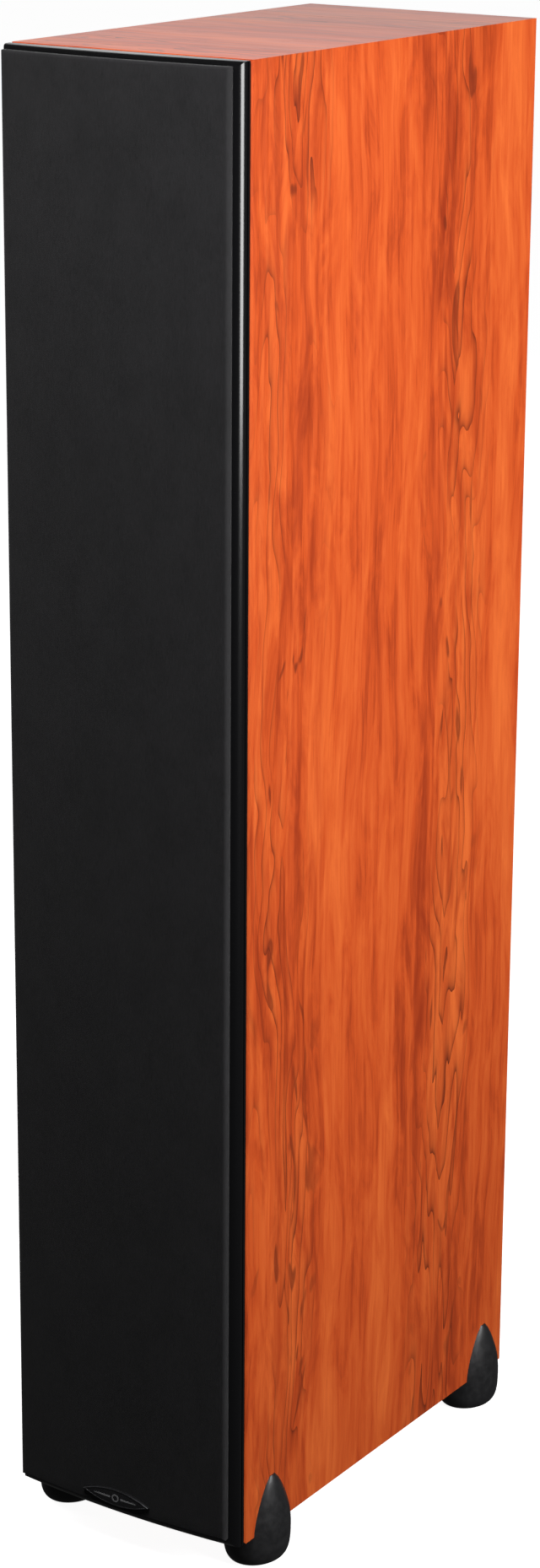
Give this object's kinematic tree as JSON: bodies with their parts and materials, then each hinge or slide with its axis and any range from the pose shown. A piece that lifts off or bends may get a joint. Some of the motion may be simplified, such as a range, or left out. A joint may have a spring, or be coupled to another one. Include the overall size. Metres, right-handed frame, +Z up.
{
  "type": "floorstanding speaker",
  "caption": "Slim floorstanding loudspeaker with a cherry-finish cabinet, bowed gloss fascia, full-length cloth grille and moulded feet.",
  "frame": {"origin": "bottom centre of the whole speaker's box, on the floor under the foot pads", "axes": "+Z up, the grille faces -Y, +X to the right seen from the front"},
  "size_m": [0.1902, 0.3574, 0.964],
  "materials": {
    "cherry_wrap": "satin",
    "black_wrap": "satin",
    "raw_board": "matte",
    "wadding": "matte",
    "gloss_black": "gloss",
    "grille_plastic": "matte",
    "grille_cloth": "matte",
    "badge": "satin",
    "socket_rubber": "matte",
    "basket_steel": "satin",
    "surround_rubber": "satin",
    "cone": "satin",
    "spider_cloth": "matte",
    "motor_iron": "satin",
    "black_screw": "satin",
    "tweeter_plate": "satin",
    "dome_silk": "satin",
    "port_plastic": "matte",
    "cup_plastic": "satin",
    "gold_brass": "polished",
    "nut_red": "gloss",
    "nut_black": "gloss",
    "board": "satin",
    "copper": "gloss",
    "film_capacitor": "gloss",
    "cement": "matte",
    "lead_jacket": "satin",
    "foot_plastic": "satin",
    "pad_rubber": "matte"
  },
  "bodies": {
    "cabinet": {"back_panel": "black_wrap", "binding_posts": "gold_brass", "board_spacers": "board", "bottom_panel": "cherry_wrap", "brace_lower": "raw_board", "brace_upper": "raw_board", "capacitors": "film_capacitor", "crossover_board": "board", "cup_screws": "black_screw", "damping_wadding": "wadding", "driver_leads": "lead_jacket", "foot_front_left": "foot_plastic", "foot_front_right": "foot_plastic", "foot_pads": "pad_rubber", "foot_rear_left": "foot_plastic", "foot_rear_right": "foot_plastic", "foot_screws": "black_screw", "gloss_fascia": "gloss_black", "grille_sockets": "socket_rubber", "inductors": "copper", "inner_baffle": "raw_board", "input_leads": "lead_jacket", "jumper_straps": "gold_brass", "port_tube": "port_plastic", "resistors": "cement", "side_panel_left": "cherry_wrap", "side_panel_right": "cherry_wrap", "terminal_cup": "cup_plastic", "top_panel": "cherry_wrap", "tweeter_faceplate": "tweeter_plate", "tweeter_motor": "motor_iron", "tweeter_screws": "black_screw", "woofer_bottom_basket": "basket_steel", "woofer_bottom_motor": "motor_iron", "woofer_bottom_spider": "spider_cloth", "woofer_bottom_surround": "surround_rubber", "woofer_middle_basket": "basket_steel", "woofer_middle_motor": "motor_iron", "woofer_middle_spider": "spider_cloth", "woofer_middle_surround": "surround_rubber", "woofer_screws": "black_screw", "woofer_top_basket": "basket_steel", "woofer_top_motor": "motor_iron", "woofer_top_spider": "spider_cloth", "woofer_top_surround": "surround_rubber"},
    "grille": {"grille_badge": "badge", "grille_cloth": "grille_cloth", "grille_frame": "grille_plastic"},
    "woofer_bottom_cone": {"woofer_bottom_cone": "cone"},
    "woofer_middle_cone": {"woofer_middle_cone": "cone"},
    "woofer_top_cone": {"woofer_top_cone": "cone"},
    "tweeter_dome": {"tweeter_dome": "dome_silk"},
    "clamp_collar_1": {"clamp_collar_1": "gold_brass"},
    "thumb_nut_1": {"thumb_nut_1": "nut_red"},
    "clamp_collar_2": {"clamp_collar_2": "gold_brass"},
    "thumb_nut_2": {"thumb_nut_2": "nut_black"},
    "clamp_collar_3": {"clamp_collar_3": "gold_brass"},
    "thumb_nut_3": {"thumb_nut_3": "nut_red"},
    "clamp_collar_4": {"clamp_collar_4": "gold_brass"},
    "thumb_nut_4": {"thumb_nut_4": "nut_black"}
  },
  "joints": [
    {"name": "grille_pull", "type": "slide", "parent": "cabinet", "child": "grille", "axis": [0, -1, 0], "range_m": [0, 0.1]},
    {"name": "woofer_bottom_travel", "type": "slide", "parent": "cabinet", "child": "woofer_bottom_cone", "axis": [0, -1, 0], "range_m": [-0.004, 0.004], "stiffness_N_per_m": 1200, "deforming": ["woofer_bottom_surround", "woofer_bottom_spider"]},
    {"name": "woofer_middle_travel", "type": "slide", "parent": "cabinet", "child": "woofer_middle_cone", "axis": [0, -1, 0], "range_m": [-0.004, 0.004], "stiffness_N_per_m": 1200, "deforming": ["woofer_middle_surround", "woofer_middle_spider"]},
    {"name": "woofer_top_travel", "type": "slide", "parent": "cabinet", "child": "woofer_top_cone", "axis": [0, -1, 0], "range_m": [-0.004, 0.004], "stiffness_N_per_m": 1200, "deforming": ["woofer_top_surround", "woofer_top_spider"]},
    {"name": "tweeter_travel", "type": "slide", "parent": "cabinet", "child": "tweeter_dome", "axis": [0, -1, 0], "range_m": [-0.0004, 0.0004], "stiffness_N_per_m": 1000},
    {"name": "collar_1_slide", "type": "slide", "parent": "cabinet", "child": "clamp_collar_1", "axis": [0, 1, 0], "range_m": [0, 0.006]},
    {"name": "nut_1_turn", "type": "hinge", "parent": "clamp_collar_1", "child": "thumb_nut_1", "pos_m": [-0.01905, 0.16, 0.195], "axis": [0, 1, 0], "range_deg": [0, 2200]},
    {"name": "collar_2_slide", "type": "slide", "parent": "cabinet", "child": "clamp_collar_2", "axis": [0, 1, 0], "range_m": [0, 0.006]},
    {"name": "nut_2_turn", "type": "hinge", "parent": "clamp_collar_2", "child": "thumb_nut_2", "pos_m": [0.01905, 0.16, 0.195], "axis": [0, 1, 0], "range_deg": [0, 2200]},
    {"name": "collar_3_slide", "type": "slide", "parent": "cabinet", "child": "clamp_collar_3", "axis": [0, 1, 0], "range_m": [0, 0.006]},
    {"name": "nut_3_turn", "type": "hinge", "parent": "clamp_collar_3", "child": "thumb_nut_3", "pos_m": [-0.01905, 0.16, 0.153], "axis": [0, 1, 0], "range_deg": [0, 2200]},
    {"name": "collar_4_slide", "type": "slide", "parent": "cabinet", "child": "clamp_collar_4", "axis": [0, 1, 0], "range_m": [0, 0.006]},
    {"name": "nut_4_turn", "type": "hinge", "parent": "clamp_collar_4", "child": "thumb_nut_4", "pos_m": [0.01905, 0.16, 0.153], "axis": [0, 1, 0], "range_deg": [0, 2200]}
  ],
  "couplings": [
    {"joint": "nut_1_turn", "follows": "collar_1_slide", "rad_per_m": 6283.2},
    {"joint": "nut_2_turn", "follows": "collar_2_slide", "rad_per_m": 6283.2},
    {"joint": "nut_3_turn", "follows": "collar_3_slide", "rad_per_m": 6283.2},
    {"joint": "nut_4_turn", "follows": "collar_4_slide", "rad_per_m": 6283.2}
  ]
}
